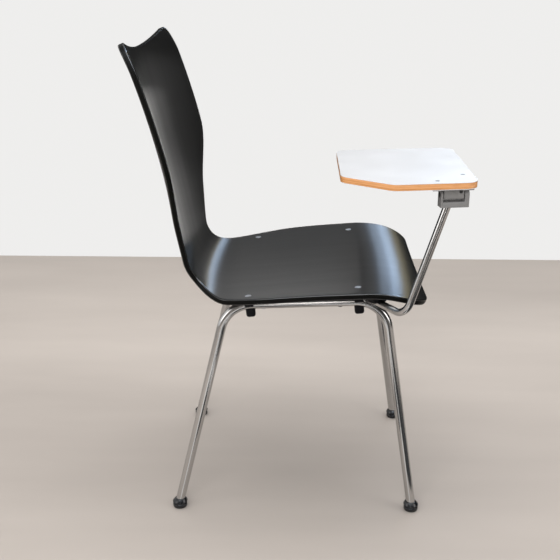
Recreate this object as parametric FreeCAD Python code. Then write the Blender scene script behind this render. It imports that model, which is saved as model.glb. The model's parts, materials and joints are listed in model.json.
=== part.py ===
import FreeCAD, Part
import math
import os

# Tablet arm chair: a bent plywood shell on two bent tube side frames, with a writing
# tablet that folds up on a hinge at the top of a bent arm beside the sitter's right.
# X points forward, Y to the sitter's left and Z up. The origin is on the floor, midway
# between the feet. Lengths are millimetres, angles are degrees.

# Shell, measured on the centre line of its top face, from the front lip to the back's top
shell_thickness = 10.0
seat_front_x = 229.5
lip_height = 428.0
lip_fall = 23.2
waterfall_radius = 226.0
seat_slope = 5.7
seat_flat_length = 239.5
bend_radius = 73.5
back_recline = 10.0
back_sweep_radius = 3700.0
back_length = 392.0
top_dip = 20.0
front_corner_radius = 54.0
top_corner_radius = 28.0

# Shell widths, and the depth of the hollow that runs across it, from the lip to the top
lip_width = 449.0
seat_width = 430.0
rear_seat_width = 385.0
waist_width = 282.0
low_back_width = 356.0
mid_back_width = 473.0
shoulder_width = 468.0
top_width = 442.0
lip_hollow = 3.0
seat_hollow = 10.5
waist_hollow = 7.0
low_back_hollow = 13.5
mid_back_hollow = 32.0
shoulder_hollow = 26.0
top_hollow = 16.0
waist_rise = 76.0
low_back_rise = 66.0
mid_back_rise = 187.0
shoulder_drop = 59.0

# Side frames, whose rails run under the seat inside the line of the screws
tube_diameter = 17.0
tube_wall = 1.5
rail_gauge = 329.0
rear_foot_x = -223.0
front_foot_x = 223.0
foot_half_spread = 183.0
rear_corner_x = -124.0
front_corner_x = 157.0
rear_bend_radius = 60.0
front_bend_radius = 60.0
cross_tube_diameter = 15.0
cross_tube_drop = 3.0
rear_cross_x = -58.0
front_cross_x = 78.0

# Seat fixings
screw_gauge = 357.0
front_screw_setback = 124.0
screw_pitch = 193.0
screw_diameter = 6.0
screw_head_diameter = 11.5
screw_head_height = 2.2
screw_head_proud = 0.3
screw_clearance = 0.2
rear_saddle_height = 2.5
front_saddle_height = 12.8
saddle_length = 16.0
saddle_outer_reach = 6.5
saddle_inner_reach = 11.0
saddle_wrap = 3.0
saddle_floor = 1.0
bumper_length = 17.0
bumper_width = 13.0
bumper_drop = 15.0
bumper_round = 5.0
insert_diameter = 9.0
insert_length = 5.0
insert_depth = 2.0
thread_clearance = 0.05
wrap_gap = 1.5

# Feet
glide_diameter = 27.0
glide_height = 8.5
glide_round = 2.0
spigot_diameter = 8.0
spigot_height = 2.0
spigot_clearance = 0.05
neck_diameter = 24.0
neck_height = 2.0
cap_diameter = 28.0
cap_rim_height = 2.5
cap_height = 10.0
cap_mouth_diameter = 19.5
tube_end_height = 13.5

# Tablet arm
arm_diameter = 12.7
arm_wall = 2.0
arm_lean = 16.7
arm_plan_angle = 57.2
arm_bend_radius = 30.0
arm_weld_bite = 3.0
arm_weld_reach = 10.0
arm_saddle_length = 30.0
arm_saddle_width = 26.0
arm_saddle_setback = 83.0

# Hinge, measured from the middle of its pin
hinge_forward = 248.0
hinge_aside = 262.4
hinge_yaw = 8.8
pin_diameter = 6.0
pin_head_diameter = 8.0
pin_head_height = 1.5
pin_clearance = 0.05
bush_wall = 1.5
leaf_rise = 10.5
leaf_thickness = 3.0
leaf_length = 66.0
leaf_offset = -7.0
leaf_inner_reach = 40.0
leaf_outer_reach = 18.0
tongue_length = 32.0
tongue_offset = -2.0
tongue_half_depth = 7.0
tongue_round = 3.5
washer_thickness = 1.5
washer_diameter = 11.0
washer_gap = 0.3
yoke_length = 46.0
yoke_outer_reach = 8.0
yoke_inner_reach = 9.0
yoke_floor_drop = 10.5
yoke_floor_thickness = 9.0
socket_along = -10.0
socket_inward = 0.5
socket_depth = 6.0
stop_gap = 0.3
stop_inset = 4.0
stop_margin = 0.5
grub_diameter = 6.0
grub_length = 2.5
grub_along = 9.0
grub_rise = 6.0
grub_sink = 0.4

# Writing tablet
tablet_height = 662.0
tablet_thickness = 11.0
laminate_thickness = 0.8
tablet_length = 213.0
tablet_front_width = 278.0
tablet_front_overhang = 35.0
tablet_side_overhang = 24.5
tablet_cut_along = 79.0
tablet_cut_across = 68.0
tablet_corner_radius = 23.0
tablet_screw_diameter = 4.0
tablet_screw_head_diameter = 8.0
tablet_screw_head_height = 2.0
tablet_screw_clearance = 0.2
tablet_screw_sink = 0.3
tablet_screw_spots = [(-30.5, -7.5), (23.0, 31.0)]

os.makedirs("parts", exist_ok=True)

Vector = FreeCAD.Vector
UP = Vector(0, 0, 1)
ALONG = Vector(1, 0, 0)
ASIDE = Vector(0, 1, 0)
RIGHT = -1
LEFT = 1
SIDES = {"right": RIGHT, "left": LEFT}

tube_radius = tube_diameter / 2
arm_radius = arm_diameter / 2
pin_radius = pin_diameter / 2

waterfall_length = waterfall_radius * math.radians(lip_fall + seat_slope)
bend_start = waterfall_length + seat_flat_length
bend_length = bend_radius * math.radians(90.0 - back_recline + seat_slope)
back_start = bend_start + bend_length
back_end = back_start + back_length

# Each run of the centre line: its length and how much it turns upward per millimetre
shell_runs = [
    (waterfall_length, -1.0 / waterfall_radius),
    (seat_flat_length, 0.0),
    (bend_length, 1.0 / bend_radius),
    (back_length, -1.0 / back_sweep_radius),
]

# Stations along the shell: distance from the lip, width, depth of the hollow
shell_stations = [
    (0.0, lip_width, lip_hollow),
    (waterfall_length + seat_flat_length / 2, seat_width, seat_hollow),
    (bend_start, rear_seat_width, waist_hollow),
    (bend_start + waist_rise, waist_width, waist_hollow),
    (back_start + low_back_rise, low_back_width, low_back_hollow),
    (back_start + mid_back_rise, mid_back_width, mid_back_hollow),
    (back_end - shoulder_drop, shoulder_width, shoulder_hollow),
    (back_end, top_width, top_hollow),
]
station_spots = [spot for spot, width, hollow in shell_stations]
station_halves = [width / 2 for spot, width, hollow in shell_stations]
station_hollows = [hollow for spot, width, hollow in shell_stations]


def save(name, *solids):
    """Write one node, as a single solid or as a group of separate solids."""
    shape = solids[0] if len(solids) == 1 else Part.makeCompound(list(solids))
    shape.exportStep("parts/" + name + ".step")
    box = shape.BoundBox
    print(f"{name}: {len(shape.Solids)} solid(s), {shape.Volume / 1000:.2f} cm3, "
          f"z {box.ZMin:.1f} to {box.ZMax:.1f}, valid {shape.isValid()}")


def box_about(length, width, low, high):
    """Upright block centred on the local Z axis."""
    return Part.makeBox(length, width, high - low, Vector(-length / 2, -width / 2, low))


def post(radius, low, high):
    """Upright cylinder on the local Z axis."""
    return Part.makeCylinder(radius, high - low, Vector(0, 0, low))


def bar_along_x(radius, low, high):
    """Cylinder on the local X axis."""
    return Part.makeCylinder(radius, high - low, Vector(low, 0, 0), ALONG)


def edges_where(shape, test):
    return [edge for edge in shape.Edges if test(edge)]


def placed(shape, place):
    return shape.transformed(place.toMatrix(), True)


def bent_rod(points, bends, radius):
    """Round bar along straight runs that are joined by tangent arcs."""
    edges = []
    start = points[0]
    for before, corner, after, bend in zip(points, points[1:], points[2:], bends):
        behind = (before - corner).normalize()
        ahead = (after - corner).normalize()
        half_turn = (math.pi - behind.getAngle(ahead)) / 2
        reach = bend * math.tan(half_turn)
        arc_start = corner + behind * reach
        arc_end = corner + ahead * reach
        middle = corner + (behind + ahead).normalize() * (bend / math.cos(half_turn) - bend)
        edges.append(Part.LineSegment(start, arc_start).toShape())
        edges.append(Part.Arc(arc_start, middle, arc_end).toShape())
        start = arc_end
    edges.append(Part.LineSegment(start, points[-1]).toShape())
    ring = Part.Wire(Part.makeCircle(radius, points[0], points[1] - points[0]))
    return Part.Wire(edges).makePipeShell([ring], True, False)


def rounded_outline(points, radius, z):
    """Closed outline with every corner rounded, at one height."""
    edges = []
    ends = []
    for i, corner in enumerate(points):
        behind = (points[i - 1] - corner).normalize()
        ahead = (points[(i + 1) % len(points)] - corner).normalize()
        half_turn = (math.pi - behind.getAngle(ahead)) / 2
        reach = radius * math.tan(half_turn)
        middle = corner + (behind + ahead).normalize() * (radius / math.cos(half_turn) - radius)
        ends.append((corner + behind * reach, middle, corner + ahead * reach))
    lift = UP * z
    for i, (arc_start, middle, arc_end) in enumerate(ends):
        next_start = ends[(i + 1) % len(ends)][0]
        edges.append(Part.Arc(arc_start + lift, middle + lift, arc_end + lift).toShape())
        edges.append(Part.LineSegment(arc_end + lift, next_start + lift).toShape())
    return Part.Wire(edges)


def smooth_value(spots, values, at):
    """Smooth curve through the values at the spots, with no overshoot between them."""
    last = len(spots) - 1
    steps = [(values[i + 1] - values[i]) / (spots[i + 1] - spots[i]) for i in range(last)]
    slopes = [steps[0]]
    for before, after in zip(steps, steps[1:]):
        same_way = before * after > 0
        slopes.append(2 * before * after / (before + after) if same_way else 0.0)
    slopes.append(steps[-1])
    i = 0
    while i < last - 1 and at > spots[i + 1]:
        i += 1
    span = spots[i + 1] - spots[i]
    t = (at - spots[i]) / span
    start = values[i] * (1 + 2 * t) * (1 - t) ** 2 + slopes[i] * span * t * (1 - t) ** 2
    end = values[i + 1] * t * t * (3 - 2 * t) + slopes[i + 1] * span * t * t * (t - 1)
    return start + end


def shell_centre(at):
    """Point of the centre line at a distance from the lip, and its heading above level."""
    x, z, heading = seat_front_x, lip_height, math.radians(lip_fall)
    left = at
    for i, (length, turn) in enumerate(shell_runs):
        step = left if i == len(shell_runs) - 1 else min(left, length)
        after = heading + turn * step
        if turn == 0.0:
            x -= step * math.cos(heading)
            z += step * math.sin(heading)
        else:
            x -= (math.sin(after) - math.sin(heading)) / turn
            z -= (math.cos(after) - math.cos(heading)) / turn
        heading = after
        left -= step
    return Vector(x, 0, z), heading


def shell_normal(heading):
    return Vector(math.sin(heading), 0, math.cos(heading))


def shell_surface(at, y):
    """Point of the top face at a distance from the lip and a place across the shell."""
    centre, heading = shell_centre(at)
    half = smooth_value(station_spots, station_halves, at)
    hollow = smooth_value(station_spots, station_hollows, at)
    return centre + ASIDE * y + shell_normal(heading) * (hollow * (y / half) ** 2)


def curve_through(points):
    curve = Part.BezierCurve()
    curve.setPoles(points)
    return curve.toShape()


def shell_edge(at):
    """Across the shell at a distance from the lip: half width and hollow of the top face, then
    half width and rise of the underside's edge, which lies square below the top face's edge."""
    half = smooth_value(station_spots, station_halves, at)
    hollow = smooth_value(station_spots, station_hollows, at)
    slope = 2 * hollow / half
    square = math.hypot(1.0, slope)
    return half, hollow, half + shell_thickness * slope / square, hollow - shell_thickness / square


def shell_section(at):
    """Closed outline across the shell: two shallow arcs joined by the plywood's edges."""
    centre, heading = shell_centre(at)
    half, hollow, low_half, low_edge = shell_edge(at)
    normal = shell_normal(heading)

    def spot(y, rise):
        return centre + ASIDE * y + normal * rise

    low_pole = -2 * shell_thickness - low_edge
    top = [spot(-half, hollow), spot(0, -hollow), spot(half, hollow)]
    under = [spot(low_half, low_edge), spot(0, low_pole), spot(-low_half, low_edge)]
    edges = [curve_through(top)]
    edges.append(Part.LineSegment(top[-1], under[0]).toShape())
    edges.append(curve_through(under))
    edges.append(Part.LineSegment(under[-1], top[0]).toShape())
    return Part.Wire(edges)


def front_corner_trim(side):
    """Block that rounds one front corner of the seat, as seen from above."""
    radius = front_corner_radius
    half, hollow, low_half, low_edge = shell_edge(radius + shell_thickness)
    centre = Vector(seat_front_x - radius, side * (low_half - radius), lip_height - radius)
    quarter = box_about(2 * radius, 2 * radius, 0, 2 * radius).translated(Vector(radius, side * radius, 0))
    return quarter.cut(post(radius, 0, 2 * radius)).translated(centre)


def top_edge_rise(y):
    """Rise of the back's hollow top edge above the end of the centre line."""
    return top_dip * ((2 * y / top_width) ** 2 - 1)


def top_corner():
    """Round of a top corner, across and up: its centre, and where it leaves the edges."""
    radius = top_corner_radius
    low_side = shell_edge(back_end - radius)[2]
    flare = (shell_edge(back_end)[2] - low_side) / radius
    side_square = math.hypot(1.0, flare)
    y = low_side - radius
    steps_to_settle = 30
    for _ in range(steps_to_settle):
        slope = 8 * top_dip * y / top_width ** 2
        square = math.hypot(1.0, slope)
        centre_y = y + radius * slope / square
        centre_up = top_edge_rise(y) - radius / square
        y += low_side + flare * (centre_up + radius) - radius * side_square - centre_y
    side_y = centre_y + radius / side_square
    side_up = centre_up - radius * flare / side_square
    return (centre_y, centre_up), (y, top_edge_rise(y)), (side_y, side_up)


def top_trim():
    """Block that cuts the back's top edge to a hollow between two rounded, raised corners."""
    origin, heading = shell_centre(back_end)
    normal = shell_normal(heading)
    rise = Vector(-math.cos(heading), 0, math.sin(heading))
    depth = 2 * (mid_back_hollow + shell_thickness)
    centre, inner, outer = top_corner()
    reach = outer[0] + top_corner_radius
    far = top_dip + top_corner_radius
    toward = (inner[0] + outer[0] - 2 * centre[0], inner[1] + outer[1] - 2 * centre[1])
    scale = top_corner_radius / math.hypot(*toward)
    middle = (centre[0] + toward[0] * scale, centre[1] + toward[1] * scale)

    def spot(y, up):
        return origin - normal * depth + ASIDE * y + rise * up

    edges = [curve_through([spot(-inner[0], inner[1]), spot(0, -2 * top_dip - inner[1]), spot(*inner)])]
    edges.append(Part.Arc(spot(*inner), spot(*middle), spot(*outer)).toShape())
    corners = [spot(*outer), spot(reach, outer[1]), spot(reach, far)]
    corners += [spot(-reach, far), spot(-reach, outer[1]), spot(-outer[0], outer[1])]
    edges += [Part.LineSegment(a, b).toShape() for a, b in zip(corners, corners[1:])]
    edges.append(Part.Arc(corners[-1], spot(-middle[0], middle[1]), spot(-inner[0], inner[1])).toShape())
    return Part.Face(Part.Wire(edges)).extrude(normal * (2 * depth))


def make_shell():
    sections_per_run = [5, 6, 8, 12]
    spots = [0.0]
    start = 0.0
    for (length, turn), count in zip(shell_runs, sections_per_run):
        spots += [start + length * (i + 1) / count for i in range(count)]
        start += length
    spots.append(back_end + shell_thickness)
    blank = Part.makeLoft([shell_section(at) for at in spots], True, False)
    shell = blank.cut(top_trim())
    for side in SIDES.values():
        shell = shell.cut(front_corner_trim(side))
    return shell.Solids[0]


def fixing_place(at, side):
    """Frame of one seat screw: its origin on the seat's top face, its Z along the screw."""
    turn = FreeCAD.Rotation(ASIDE, -seat_slope)
    return FreeCAD.Placement(shell_surface(at, side * screw_gauge / 2), turn)


rear_screw_setback = front_screw_setback + screw_pitch
insert_top = shell_thickness + insert_depth
screw_head_floor = screw_head_proud - screw_head_height
FIXINGS = {
    "front": (front_screw_setback, front_saddle_height),
    "rear": (rear_screw_setback, rear_saddle_height),
}


def rail_depth(saddle_height):
    """How far the rail's axis lies below the seat's top face at a screw."""
    return shell_thickness + saddle_height + tube_radius


def rail_inset(side):
    """How far the rail lies inside the line of the screws, in a screw's frame."""
    return ASIDE * (side * (rail_gauge - screw_gauge) / 2)


def rail_point(end, side):
    at, saddle_height = FIXINGS[end]
    return fixing_place(at, side).multVec(rail_inset(side) - UP * rail_depth(saddle_height))


def rail_at(x, side):
    """Point of the rail's axis at a distance forward."""
    rear = rail_point("rear", side)
    front = rail_point("front", side)
    return rear + (front - rear) * ((x - rear.x) / (front.x - rear.x))


def leg_corner(end, side):
    return rail_at({"front": front_corner_x, "rear": rear_corner_x}[end], side)


def foot_spot(end, side):
    return Vector({"front": front_foot_x, "rear": rear_foot_x}[end], side * foot_half_spread, 0)


def leg_at(end, side, height):
    """Point of a leg's axis at a height above the floor."""
    foot = foot_spot(end, side)
    return foot + (leg_corner(end, side) - foot) * (height / leg_corner(end, side).z)


def side_frame_rod(side, radius):
    points = [leg_at("rear", side, tube_end_height), leg_corner("rear", side)]
    points += [leg_corner("front", side), leg_at("front", side, tube_end_height)]
    return bent_rod(points, [rear_bend_radius, front_bend_radius], radius)


def screw_hole(end, side):
    """Space that a seat screw's shank passes through, from the head to the insert."""
    at, saddle_height = FIXINGS[end]
    hole = post(screw_diameter / 2 + screw_clearance, -insert_top, 0)
    return placed(hole, fixing_place(at, side))


def head_pocket(end, side):
    at, saddle_height = FIXINGS[end]
    pocket = post(screw_head_diameter / 2 + screw_clearance, screw_head_floor, shell_thickness)
    return placed(pocket, fixing_place(at, side))


def make_screw(end, side):
    at, saddle_height = FIXINGS[end]
    head = post(screw_head_diameter / 2, screw_head_floor, screw_head_proud)
    rim = edges_where(head, lambda edge: edge.BoundBox.ZMin > screw_head_proud - screw_clearance)
    head = head.makeFillet(screw_head_proud, rim[:1])
    shank = post(screw_diameter / 2, -insert_top - insert_length, screw_head_floor)
    return placed(head.fuse(shank).removeSplitter(), fixing_place(at, side))


def insert_pocket(end, side):
    at, saddle_height = FIXINGS[end]
    pocket = post(insert_diameter / 2, -insert_top - insert_length, -insert_top)
    return placed(pocket, fixing_place(at, side))


def make_insert(end, side):
    """Threaded sleeve in the saddle that a seat screw bites into."""
    at, saddle_height = FIXINGS[end]
    bore = post(screw_diameter / 2 + thread_clearance, -insert_top - insert_length, -insert_top)
    return insert_pocket(end, side).cut(placed(bore, fixing_place(at, side)))


def make_saddle(end, side, neighbours):
    """Spacer that fits the shell above, sits on the rail and holds the insert beside it."""
    at, saddle_height = FIXINGS[end]
    drop = max(insert_top + insert_length + saddle_floor, shell_thickness + saddle_height + saddle_wrap)
    width = saddle_outer_reach + (screw_gauge - rail_gauge) / 2 + saddle_inner_reach
    shift = ASIDE * (side * (saddle_outer_reach - width / 2))
    block = box_about(saddle_length, width, -drop, -shell_thickness / 2)
    upright = edges_where(block, lambda edge: edge.BoundBox.ZLength > saddle_height)
    block = placed(block.makeFillet(wrap_gap, upright).translated(shift), fixing_place(at, side))
    for shape in neighbours + [screw_hole(end, side), insert_pocket(end, side)]:
        block = block.cut(shape)
    return max(block.Solids, key=lambda solid: solid.Volume)


def make_bumper(end, side, rod):
    """Rounded block under the rail that keeps stacked chairs apart."""
    at, saddle_height = FIXINGS[end]
    axis = -rail_depth(saddle_height)
    low = axis - tube_radius - bumper_drop
    block = box_about(bumper_length, bumper_width, low, axis)
    rounded = edges_where(block, lambda edge: edge.BoundBox.ZMin < axis - tube_radius)
    block = block.makeFillet(bumper_round, rounded).translated(rail_inset(side))
    return max(placed(block, fixing_place(at, side)).cut(rod).Solids, key=lambda solid: solid.Volume)


def foot_centre(end, side):
    """Spot on the floor below the leg's axis, taken at the height of the cap's rim."""
    spot = leg_at(end, side, glide_height + neck_height)
    return Vector(spot.x, spot.y, 0)


def make_glide(end, side):
    """Pad on the floor, with a spigot that plugs into the cap above it."""
    pad = post(glide_diameter / 2, 0, glide_height)
    rim = edges_where(pad, lambda edge: edge.BoundBox.ZMax < glide_round and edge.Closed)
    pad = pad.makeFillet(glide_round, rim)
    spigot = post(spigot_diameter / 2, glide_height, glide_height + spigot_height)
    return pad.fuse(spigot).removeSplitter().translated(foot_centre(end, side))


def make_foot_cap(end, side, rod):
    """Cap on a leg's end: a neck and a rim above the glide, and a cone that leans with the leg."""
    foot = foot_centre(end, side)
    neck_top = glide_height + neck_height
    rim_top = neck_top + cap_rim_height
    mouth = glide_height + cap_height
    neck = post(neck_diameter / 2, glide_height, neck_top).translated(foot)
    rim = post(cap_diameter / 2, neck_top, rim_top).translated(foot)
    low = leg_at(end, side, neck_top)
    high = leg_at(end, side, mouth)
    length = (high - low).Length
    cone = Part.makeCone(cap_diameter / 2, cap_mouth_diameter / 2, length, low, high - low)
    below = post(cap_diameter, 0, neck_top).translated(foot)
    cap = neck.fuse(rim).fuse(cone.cut(below))
    spigot = post(spigot_diameter / 2 + spigot_clearance, glide_height, glide_height + spigot_height)
    return cap.cut(rod).cut(spigot.translated(foot)).removeSplitter().Solids[0]


def make_cross_tube(x, rods):
    """Tube between the two rails, shaped at its ends to fit round them."""
    right = rail_at(x, RIGHT) - UP * cross_tube_drop
    span = rail_at(x, LEFT) - rail_at(x, RIGHT)
    outer = Part.makeCylinder(cross_tube_diameter / 2, span.Length, right, span)
    inner = Part.makeCylinder(cross_tube_diameter / 2 - tube_wall, span.Length, right, span)
    tube = outer.cut(inner)
    for rod in rods:
        tube = tube.cut(rod)
    return max(tube.Solids, key=lambda solid: solid.Volume)


# Hinge frame: X along the pin, Y toward the sitter, Z up
hinge_height = tablet_height - tablet_thickness - leaf_thickness - leaf_rise
hinge_place = FreeCAD.Placement(
    Vector(hinge_forward, -hinge_aside, hinge_height), FreeCAD.Rotation(UP, hinge_yaw))
yoke_bottom = -yoke_floor_drop - yoke_floor_thickness
tongue_start = tongue_offset - tongue_length / 2
tongue_end = tongue_offset + tongue_length / 2
cheek_gap = washer_thickness + washer_gap
bush_radius = pin_radius + pin_clearance + bush_wall


def arm_points():
    """Arm's axis: from its weld on the rail, out past the seat and up to the yoke."""
    lean = math.radians(arm_lean)
    plan = math.radians(arm_plan_angle)
    rise = Vector(math.sin(lean), 0, math.cos(lean))
    root_height = rail_point("front", RIGHT).z + tube_radius + arm_radius - arm_weld_bite
    mouth = hinge_place.multVec(Vector(socket_along, socket_inward, yoke_bottom))
    corner = mouth - rise * ((mouth.z - root_height) / math.cos(lean))
    inward = Vector(-math.cos(plan), math.sin(plan), 0)
    root_length = (-corner.y - rail_gauge / 2) / math.sin(plan) + arm_weld_reach
    return [corner + inward * root_length, corner, mouth + rise * socket_depth]


def make_arm_saddle(shell, arm_rod):
    """Spacer that holds the arm off the shell's underside."""
    root, corner, top = arm_points()
    inward = (root - corner).normalize()
    spot = corner + inward * arm_saddle_setback
    turn = FreeCAD.Rotation(UP, 180.0 - arm_plan_angle)
    block = box_about(arm_saddle_length, arm_saddle_width, wrap_gap, arm_radius + shell_thickness)
    block = placed(block, FreeCAD.Placement(spot, turn))
    return min(block.cut(arm_rod).cut(shell).Solids, key=lambda solid: solid.CenterOfMass.z)


def make_yoke(arm_rod):
    """Fork on top of the arm: a floor and two cheeks, rounded where the leaf swings past."""
    start = Vector(-yoke_length / 2, 0, 0)
    bevel = yoke_outer_reach * math.sqrt(0.5)

    def spot(y, z):
        return start + Vector(0, y, z)

    outer_low = spot(-yoke_outer_reach, yoke_bottom)
    outer_mid = spot(-yoke_outer_reach, 0)
    crown = spot(0, yoke_outer_reach)
    inner_top = spot(yoke_inner_reach, yoke_outer_reach)
    inner_low = spot(yoke_inner_reach, yoke_bottom)
    edges = [
        Part.LineSegment(outer_low, outer_mid).toShape(),
        Part.Arc(outer_mid, spot(-bevel, bevel), crown).toShape(),
        Part.LineSegment(crown, inner_top).toShape(),
        Part.LineSegment(inner_top, inner_low).toShape(),
        Part.LineSegment(inner_low, outer_low).toShape(),
    ]
    block = Part.Face(Part.Wire(edges)).extrude(ALONG * yoke_length)
    slot_start = tongue_start - cheek_gap
    slot = Part.makeBox(
        tongue_length + 2 * cheek_gap, 4 * yoke_inner_reach, 4 * yoke_outer_reach,
        Vector(slot_start, -2 * yoke_inner_reach, -yoke_floor_drop))
    bore = bar_along_x(pin_radius + pin_clearance, -yoke_length, yoke_length)
    return placed(block.cut(slot).cut(bore), hinge_place).cut(arm_rod)


def make_pin():
    """Pin with a rivet head outside each cheek."""
    half = yoke_length / 2
    shank = bar_along_x(pin_radius, -half, half)
    heads = [bar_along_x(pin_head_diameter / 2, -half - pin_head_height, -half)]
    heads.append(bar_along_x(pin_head_diameter / 2, half, half + pin_head_height))
    pin = shank.fuse(heads).removeSplitter()
    rims = edges_where(pin, lambda edge: edge.Closed and edge.BoundBox.XLength < pin_clearance
                       and abs(edge.CenterOfMass.x) > half + pin_head_height / 2)
    return placed(pin.makeFillet(pin_head_height / 2, rims), hinge_place)


def make_washers():
    """Thin washers that fill the gaps between the tongue and the cheeks."""
    spans = [(tongue_start - cheek_gap, tongue_start - washer_gap)]
    spans.append((tongue_end + washer_gap, tongue_end + cheek_gap))
    washers = []
    for low, high in spans:
        ring = bar_along_x(washer_diameter / 2, low, high)
        washers.append(placed(ring.cut(bar_along_x(pin_radius + pin_clearance, low, high)), hinge_place))
    return washers


def make_stop_pads():
    """Pads on top of the cheeks that the leaf comes down on."""
    cheeks = [(-yoke_length / 2, tongue_start - cheek_gap), (tongue_end + cheek_gap, yoke_length / 2)]
    height = leaf_rise - stop_gap - yoke_outer_reach
    pads = []
    for low, high in cheeks:
        corner = Vector(low + stop_margin, stop_inset, yoke_outer_reach)
        depth = yoke_inner_reach - stop_inset - stop_margin
        pads.append(placed(Part.makeBox(high - low - 2 * stop_margin, depth, height, corner), hinge_place))
    return pads


def tablet_screw(spot, shank_clearance):
    """Countersunk screw from the tablet's top face down into the leaf."""
    top = leaf_rise + leaf_thickness + tablet_thickness - tablet_screw_sink
    shank = tablet_screw_diameter / 2
    rim = tablet_screw_head_diameter / 2
    neck = top - tablet_screw_head_height
    head = Part.makeCone(shank, rim, tablet_screw_head_height, Vector(0, 0, neck))
    stem = post(shank + shank_clearance, leaf_rise, neck)
    screw = head.fuse(stem)
    return placed(screw.translated(Vector(spot[0], spot[1], 0)), hinge_place)


def screw_sink(spot):
    """Round recess above a tablet screw's head."""
    top = leaf_rise + leaf_thickness + tablet_thickness
    recess = post(tablet_screw_head_diameter / 2, top - tablet_screw_sink, top)
    return placed(recess.translated(Vector(spot[0], spot[1], 0)), hinge_place)


def make_leaf():
    """Plate under the tablet, with the tongue that turns on the pin."""
    plate = Part.makeBox(
        leaf_length, leaf_inner_reach + leaf_outer_reach, leaf_thickness,
        Vector(leaf_offset - leaf_length / 2, -leaf_outer_reach, leaf_rise))
    tongue = Part.makeBox(
        tongue_length, 2 * tongue_half_depth, tongue_half_depth + leaf_rise,
        Vector(tongue_start, -tongue_half_depth, -tongue_half_depth))
    along = edges_where(tongue, lambda edge: edge.BoundBox.XLength > tongue_round)
    low = [edge for edge in along if edge.BoundBox.ZMax < -tongue_round]
    leaf = plate.fuse(tongue.makeFillet(tongue_round, low)).removeSplitter()
    leaf = leaf.cut(bar_along_x(bush_radius, tongue_start, tongue_end))
    leaf = placed(leaf.cut(grub(grub_sink)), hinge_place)
    for spot in tablet_screw_spots:
        leaf = leaf.cut(tablet_screw(spot, 0.0))
    return leaf


def grub(extra):
    """Friction screw in the tongue's outer face."""
    start = Vector(grub_along, grub_sink - extra - tongue_half_depth, grub_rise)
    return Part.makeCylinder(grub_diameter / 2, grub_length + extra, start, ASIDE)


def make_bush():
    bush = bar_along_x(bush_radius, tongue_start, tongue_end)
    return placed(bush.cut(bar_along_x(pin_radius + pin_clearance, tongue_start, tongue_end)), hinge_place)


def tablet_layer(low, high):
    """One layer of the tablet, with its cut rear corner and rounded outline."""
    skew = math.tan(math.radians(hinge_yaw))
    front = hinge_forward + tablet_front_overhang
    rear = front - tablet_length
    side_at_hinge = -hinge_aside - tablet_side_overhang / math.cos(math.radians(hinge_yaw))
    outer_front = side_at_hinge + skew * tablet_front_overhang
    outer_rear = outer_front - skew * tablet_length
    inner_front = outer_front + tablet_front_width
    corners = [
        Vector(front, outer_front, 0),
        Vector(front, inner_front, 0),
        Vector(rear, inner_front - skew * tablet_length, 0),
        Vector(rear, outer_rear + tablet_cut_across, 0),
        Vector(rear + tablet_cut_along, outer_rear + skew * tablet_cut_along, 0),
    ]
    outline = rounded_outline(corners, tablet_corner_radius, low)
    layer = Part.Face(outline).extrude(UP * (high - low))
    for spot in tablet_screw_spots:
        layer = layer.cut(tablet_screw(spot, tablet_screw_clearance)).cut(screw_sink(spot))
    return layer


shell_blank = make_shell()
side_rods = {name: side_frame_rod(side, tube_radius) for name, side in SIDES.items()}
arm_rod = bent_rod(arm_points(), [arm_bend_radius], arm_radius)
seat_screws = []
seat_inserts = []
shell = shell_blank

for name, side in SIDES.items():
    rod = side_rods[name]
    tube = rod.cut(side_frame_rod(side, tube_radius - tube_wall))
    for end in FIXINGS:
        shell = shell.cut(screw_hole(end, side)).cut(head_pocket(end, side))
        seat_screws.append(make_screw(end, side))
        seat_inserts.append(make_insert(end, side))
        save(f"seat_saddle_{end}_{name}", make_saddle(end, side, [shell_blank, rod, arm_rod]))
        save(f"stacking_bumper_{end}_{name}", make_bumper(end, side, rod))
        save(f"foot_cap_{end}_{name}", make_foot_cap(end, side, rod))
        save(f"glide_pad_{end}_{name}", make_glide(end, side))
    save(f"side_frame_{name}", tube)

save("seat_shell", shell)
save("seat_screws", *seat_screws)
save("seat_inserts", *seat_inserts)

save("rear_cross_tube", make_cross_tube(rear_cross_x, side_rods.values()))
save("front_cross_tube", make_cross_tube(front_cross_x, side_rods.values()))

arm_bore = bent_rod(arm_points(), [arm_bend_radius], arm_radius - arm_wall)
save("tablet_arm", arm_rod.cut(arm_bore).cut(side_rods["right"]).Solids[0])
save("arm_saddle", make_arm_saddle(shell_blank, arm_rod))

save("hinge_yoke", make_yoke(arm_rod))
save("hinge_pin", make_pin())
save("hinge_washers", *make_washers())
save("stop_pads", *make_stop_pads())
save("hinge_leaf", make_leaf())
save("hinge_bush", make_bush())
save("hinge_grub_screw", placed(grub(0.0), hinge_place))

tablet_base = tablet_height - tablet_thickness
tablet_top = tablet_height - laminate_thickness
save("tablet_backing", tablet_layer(tablet_base, tablet_base + laminate_thickness))
save("tablet_board", tablet_layer(tablet_base + laminate_thickness, tablet_top))
save("tablet_laminate", tablet_layer(tablet_top, tablet_height))
save("tablet_screws", *[tablet_screw(spot, 0.0) for spot in tablet_screw_spots])

pin_direction = hinge_place.Rotation.multVec(ALONG)
print("hinge pin at", hinge_place.Base, "along", pin_direction)
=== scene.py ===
# %% [markdown]
# # A tablet arm chair
# The real chair is a black bent plywood shell on chrome legs, with a white writing tablet
# that folds up on an arm. The solid model already holds every piece at its real size and
# place, so it is loaded first as a fixed frame. This script then gives each piece its
# finish and models again the ones whose soft edges and small details matter to the eye.

# %% Load the fixed frame
import json
import math

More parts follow.
